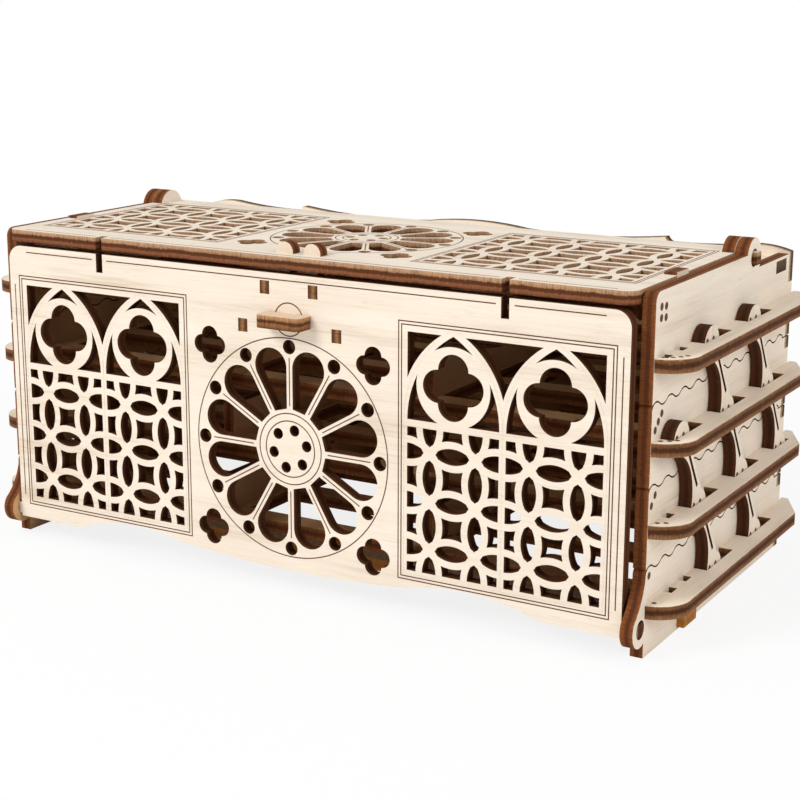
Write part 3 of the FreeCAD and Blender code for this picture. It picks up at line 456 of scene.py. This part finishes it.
SIDE_LINE = 110.5 * MM
TOP_LINE_END = 105 * MM
HINGE_SLOT = 73.8 * MM
SLOT_CLEAR = 3 * MM


def hollow(drawn, face):
    """Keeps only a line along the outline of a flat face."""
    bmesh.ops.inset_region(
        drawn, faces=[face], thickness=LINE, use_boundary=True, use_even_offset=True,
    )
    bmesh.ops.delete(drawn, geom=[face], context="FACES_ONLY")


def ring(drawn, middle, radius):
    """A line round a circle."""
    made = bmesh.ops.create_circle(
        drawn, cap_ends=True, segments=RING_CORNERS, radius=radius,
        matrix=Matrix.Translation((*middle, 0)),
    )
    hollow(drawn, made["verts"][0].link_faces[0])


def stroke(drawn, start, end):
    """A straight line between two places."""
    run = Vector(end) - Vector(start)
    middle = (Vector(start) + Vector(end)) / 2
    turned = Matrix.Translation((*middle, 0)) @ Matrix.Rotation(math.atan2(run.y, run.x), 4, "Z")
    shape = turned @ Matrix.Diagonal((run.length, LINE, 1, 1))
    bmesh.ops.create_grid(drawn, x_segments=1, y_segments=1, size=HALF_SQUARE, matrix=shape)


def border(drawn, low, high, reach):
    """A line round a rectangle, that far outside it."""
    middle = Matrix.Translation(((low[0] + high[0]) / 2, (low[1] + high[1]) / 2, 0))
    size = Matrix.Diagonal((high[0] - low[0] + 2 * reach, high[1] - low[1] + 2 * reach, 1, 1))
    made = bmesh.ops.create_grid(
        drawn, x_segments=1, y_segments=1, size=HALF_SQUARE, matrix=middle @ size,
    )
    hollow(drawn, made["verts"][0].link_faces[0])


def wheel_lines(drawn, middle, radius):
    """Rings round a wheel window and its hub, and a line down each spoke."""
    hub = HUB_SHARE * radius
    for reach in (hub - HUB_INSET, hub + FRET_RIB / 2, radius + RIM_OUTSET):
        ring(drawn, middle, reach)
    for i in range(SPOKES):
        angle = 2 * math.pi * i / SPOKES
        spoke = Vector((math.cos(angle), math.sin(angle)))
        first, last = hub + SPOKE_CLEAR, SPOKE_SHARE * radius - FRET_RIB / 2
        stroke(drawn, Vector(middle) + spoke * first, Vector(middle) + spoke * last)


def lancet_line(drawn, left, right, low, spring):
    """A line round a lancet: straight sides under two arcs that meet in a point."""
    width = right - left
    outline = [(left, low), (right, low)]
    for i in range(ARC_STEPS + 1):
        angle = ARCH_TURN * i / ARC_STEPS
        outline.append((left + width * math.cos(angle), spring + width * math.sin(angle)))
    for i in range(1, ARC_STEPS + 1):
        angle = ARCH_TURN * (2 + i / ARC_STEPS)
        outline.append((right + width * math.cos(angle), spring + width * math.sin(angle)))
    hollow(drawn, drawn.faces.new([drawn.verts.new((*point, 0)) for point in outline]))


drawn = bmesh.new()
wheel_lines(drawn, WHEEL_MIDDLE, WHEEL_RADIUS)
ring(drawn, (0, LATCH_HEIGHT), LATCH_RING)
lancet_width = (FIELD_HIGH[0] - FIELD_LOW[0] - FRET_RIB) / 2
lancet_spring = FIELD_HIGH[1] - lancet_width * math.sin(ARCH_TURN)
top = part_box("front_panel")[1].z - PANEL_BORDER
for mirror in (-1, 1):
    ends = sorted((mirror * FIELD_LOW[0], mirror * FIELD_HIGH[0]))
    for reach in FIELD_BORDERS:
        border(drawn, (ends[0], FIELD_LOW[1]), (ends[1], FIELD_HIGH[1]), reach)
    for left in (ends[0], ends[1] - lancet_width):
        lancet_line(
            drawn, left - FRET_RIB / 2, left + lancet_width + FRET_RIB / 2,
            FIELD_LOW[1] - FRET_RIB / 2, lancet_spring,
        )
    slot_edge = mirror * (HINGE_SLOT + SLOT_CLEAR)
    side_line = mirror * SIDE_LINE
    stroke(drawn, (slot_edge, top), (mirror * TOP_LINE_END, top))
    stroke(drawn, (side_line, FIELD_LOW[1]), (side_line, FIELD_HIGH[1]))
stroke(drawn, (SLOT_CLEAR - HINGE_SLOT, top), (HINGE_SLOT - SLOT_CLEAR, top))
on_panel = Matrix(((1, 0, 0, 0), (0, 0, -1, FRONT), (0, 1, 0, 0), (0, 0, 0, 1)))
burn("panel_lines", drawn, on_panel, "drop_front")

# Post guides and latch stops: small plywood blocks behind the panel, whose scorched square tenons
# come through it.
TENON_LAYERS = (
    (0.00, (0.055, 0.020, 0.008, 1)),
    (0.28, (0.150, 0.056, 0.020, 1)),
    (0.44, (0.320, 0.170, 0.070, 1)),
    (0.56, (0.290, 0.145, 0.058, 1)),
    (0.72, (0.120, 0.042, 0.015, 1)),
    (1.00, (0.060, 0.020, 0.008, 1)),
)
guide_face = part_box("right_post_guide")[0].x
guide_ply = plywood("guide_plywood", "X", guide_face, "Y", twin=True, layers=TENON_LAYERS)
finish(guide_ply, "left_post_guide", "right_post_guide")
stop_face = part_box("right_latch_stop")[0].x
stop_ply = plywood("stop_plywood", "X", stop_face, "Y", twin=True, layers=TENON_LAYERS)
finish(stop_ply, "left_latch_stop", "right_latch_stop")

# Latch: a plywood disc flush in the panel, the flat handle through it, and the tongue behind, glued
# together so that all three turn as one. The handle is browned all over.
HANDLE_WARMTH = 0.4
BROWNED_LAYERS = (
    (0.00, (0.080, 0.028, 0.009, 1)),
    (0.14, (0.240, 0.098, 0.036, 1)),
    (0.36, (0.310, 0.135, 0.054, 1)),
    (0.46, (0.090, 0.030, 0.009, 1)),
    (0.62, (0.100, 0.034, 0.011, 1)),
    (0.72, (0.400, 0.190, 0.080, 1)),
    (1.00, (0.580, 0.320, 0.155, 1)),
)
disc_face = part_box("latch_disc")[0].y
finish(plywood("disc_plywood", "Y", disc_face, "X"), "latch_disc")
handle_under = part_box("latch_handle")[0].z
handle_ply = plywood(
    "handle_plywood", "Z", handle_under, "X", layers=BROWNED_LAYERS, darkened_side=0, darkening=HANDLE_WARMTH,
)
finish(handle_ply, "latch_handle")
tongue_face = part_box("latch_tongue")[0].y
finish(plywood("tongue_plywood", "Y", tongue_face, "X"), "latch_tongue")

# Rear deck: the fixed plywood strip behind the lid. Its tenons come through the top side plates,
# where the sooty ends show flush with the outside.
SOOTY_LAYERS = (
    (0.00, (0.030, 0.020, 0.012, 1)),
    (0.45, (0.080, 0.055, 0.030, 1)),
    (1.00, (0.110, 0.080, 0.045, 1)),
)
deck_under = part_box("rear_deck")[0].z
finish(plywood("deck_plywood", "Z", deck_under, "X", layers=SOOTY_LAYERS), "rear_deck")

# Lid: the pierced plywood panel with its square hinge pegs, the two ribs under its edges, and the
# two round-topped posts that the latch catches. The posts' faces take a little brown as painted
# shade.
lid_low, lid_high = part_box("lid_panel")
TOASTED_LAYERS = (
    (0.00, (0.040, 0.012, 0.003, 1)),
    (0.10, (0.190, 0.066, 0.026, 1)),
    (0.30, (0.260, 0.094, 0.040, 1)),
    (0.40, (0.090, 0.027, 0.008, 1)),
    (0.62, (0.085, 0.025, 0.008, 1)),
    (0.72, (0.440, 0.240, 0.122, 1)),
    (1.00, (0.560, 0.350, 0.205, 1)),
)
lid_ply = plywood("lid_plywood", "Z", lid_low.z, "X", layers=TOASTED_LAYERS)
finish(lid_ply, "lid_panel")
rib_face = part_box("right_lid_rib")[0].x
rib_ply = plywood("rib_plywood", "X", rib_face, "Y", twin=True)
finish(rib_ply, "left_lid_rib", "right_lid_rib")
POST_SHADE_SHARE = 0.16
post_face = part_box("right_lid_post")[0].y
post_ply = plywood("post_plywood", "Y", post_face, "Z", darkened_side=0, darkening=POST_SHADE_SHARE)
finish(post_ply, "left_lid_post", "right_lid_post")

# Lid lines: thin burnt lines round the lid's wheel window and its two fields, and along the front
# edge between the slots, drawn as on the front panel.
LID_FRET_LOW = (38 * MM, 15 * MM)
LID_FRET_HIGH = (105.5 * MM, 77 * MM)
LID_WHEEL = 31 * MM
LID_BORDER = 2.4 * MM
LID_FIELD_BORDERS = (1.6 * MM, 2.6 * MM)
LID_LINE_END = 107 * MM
drawn = bmesh.new()
wheel_lines(drawn, (0, (LID_FRET_LOW[1] + LID_FRET_HIGH[1]) / 2), LID_WHEEL)
for mirror in (-1, 1):
    ends = sorted((mirror * LID_FRET_LOW[0], mirror * LID_FRET_HIGH[0]))
    for reach in LID_FIELD_BORDERS:
        border(drawn, (ends[0], LID_FRET_LOW[1]), (ends[1], LID_FRET_HIGH[1]), reach)
    slot_edge = mirror * (HINGE_SLOT + SLOT_CLEAR)
    stroke(drawn, (slot_edge, LID_BORDER), (mirror * LID_LINE_END, LID_BORDER))
stroke(drawn, (SLOT_CLEAR - HINGE_SLOT, LID_BORDER), (HINGE_SLOT - SLOT_CLEAR, LID_BORDER))
burn("lid_lines", drawn, Matrix.Translation((0, FRONT, lid_high.z)), "lid")

# Studio: a white table that keeps a faint shadow, soft light from the front left and from the
# right, and the camera where the photograph was taken.
WHITE = (1, 1, 1, 1)
TABLE_WHITE = (0.92, 0.92, 0.92, 1)
TABLE_ROUGHNESS = 0.9
TABLE_GLOSS = 0.1
TABLE_REACH = 60
SHADOW_REACH = (0.2, 0.6)
SHADOW_WHITENESS = 0.85
table = bmesh.new()
bmesh.ops.create_grid(table, x_segments=1, y_segments=1, size=TABLE_REACH)
table_mesh = bpy.data.meshes.new("table")
table.to_mesh(table_mesh)
table.free()
table_top = bpy.data.objects.new("table", table_mesh)
bpy.context.scene.collection.objects.link(table_top)
table_white, table_shader, paint = blank("table_white")
table_shader.inputs["Base Color"].default_value = TABLE_WHITE
table_shader.inputs["Roughness"].default_value = TABLE_ROUGHNESS
table_shader.inputs["Specular IOR Level"].default_value = TABLE_GLOSS


def looked_at(start):
    """1 for what the camera sees straight, in a reflection or through glass, and 0 for the light."""
    ray = start.node("ShaderNodeLightPath", {}, "Is Camera Ray")
    mirrored = start.math("MAXIMUM", ray, ray.at("Is Glossy Ray"))
    return start.math("MAXIMUM", mirrored, ray.at("Is Transmission Ray"))


table_place = paint.node("ShaderNodeTexCoord", {}, "Object")
away = paint.node("ShaderNodeVectorMath", {0: table_place}, "Value", operation="LENGTH")
near, far = SHADOW_REACH
whiteness = paint.node(
    "ShaderNodeMapRange",
    {"Value": away, "From Min": near, "From Max": far, "To Min": SHADOW_WHITENESS, "To Max": 1.0},
    interpolation_type="SMOOTHSTEP",
)
glow = paint.node("ShaderNodeEmission", {"Color": WHITE, "Strength": 1.0}, "Emission")
painted = Socket(paint.tree, table_shader)
surface = paint.node("ShaderNodeMixShader", {0: looked_at(paint) * whiteness, 1: painted, 2: glow})
paint.feed(paint.tree.nodes["Material Output"].inputs["Surface"], surface)
table_mesh.materials.append(table_white)

ROOM_LIGHT = 0.55
world = bpy.data.worlds.new("studio")
bpy.context.scene.world = world
world.use_nodes = True
sky = Socket(world.node_tree)
background = world.node_tree.nodes["Background"]
background.inputs["Color"].default_value = WHITE
sky.feed(background.inputs["Strength"], looked_at(sky) * (1 - ROOM_LIGHT) + ROOM_LIGHT)


AIM = (0, 0, 0.05)
KEY_PLACE, KEY_SIZE, KEY_POWER = (-0.75, -1.35, 1.2), 0.9, 21.5
FILL_PLACE, FILL_SIZE, FILL_POWER = (1.5, -0.3, 0.9), 0.8, 8.2


def soft_light(name, place, size, power):
    """A round lamp that is turned to the box."""
    lamp = bpy.data.lights.new(name, "AREA")
    lamp.shape = "DISK"
    lamp.size = size
    lamp.energy = power
    light = bpy.data.objects.new(name, lamp)
    light.location = place
    light.rotation_euler = (Vector(AIM) - Vector(place)).to_track_quat("-Z", "Y").to_euler()
    bpy.context.scene.collection.objects.link(light)


soft_light("key", KEY_PLACE, KEY_SIZE, KEY_POWER)
soft_light("side_fill", FILL_PLACE, FILL_SIZE, FILL_POWER)

LENS = 78.22
SENSOR_WIDTH = 36
NEAREST = 0.01
VIEW_PLACE = (0.2917, -0.4932, 0.1921)
VIEW_AZIMUTH, VIEW_ELEVATION, VIEW_ROLL = (math.radians(a) for a in (30.21, 13.96, 0.19))
camera = bpy.data.cameras.new("camera")
camera.lens = LENS
camera.sensor_width = SENSOR_WIDTH
camera.clip_start = NEAREST
viewer = bpy.data.objects.new("camera", camera)
turn = Matrix.Rotation(VIEW_AZIMUTH, 4, "Z")
tilt = Matrix.Rotation(math.pi / 2 - VIEW_ELEVATION, 4, "X")
roll = Matrix.Rotation(VIEW_ROLL, 4, "Z")
viewer.matrix_world = Matrix.Translation(VIEW_PLACE) @ turn @ tilt @ roll
bpy.context.scene.collection.objects.link(viewer)
bpy.context.scene.camera = viewer
bpy.context.scene.view_settings.view_transform = "Standard"
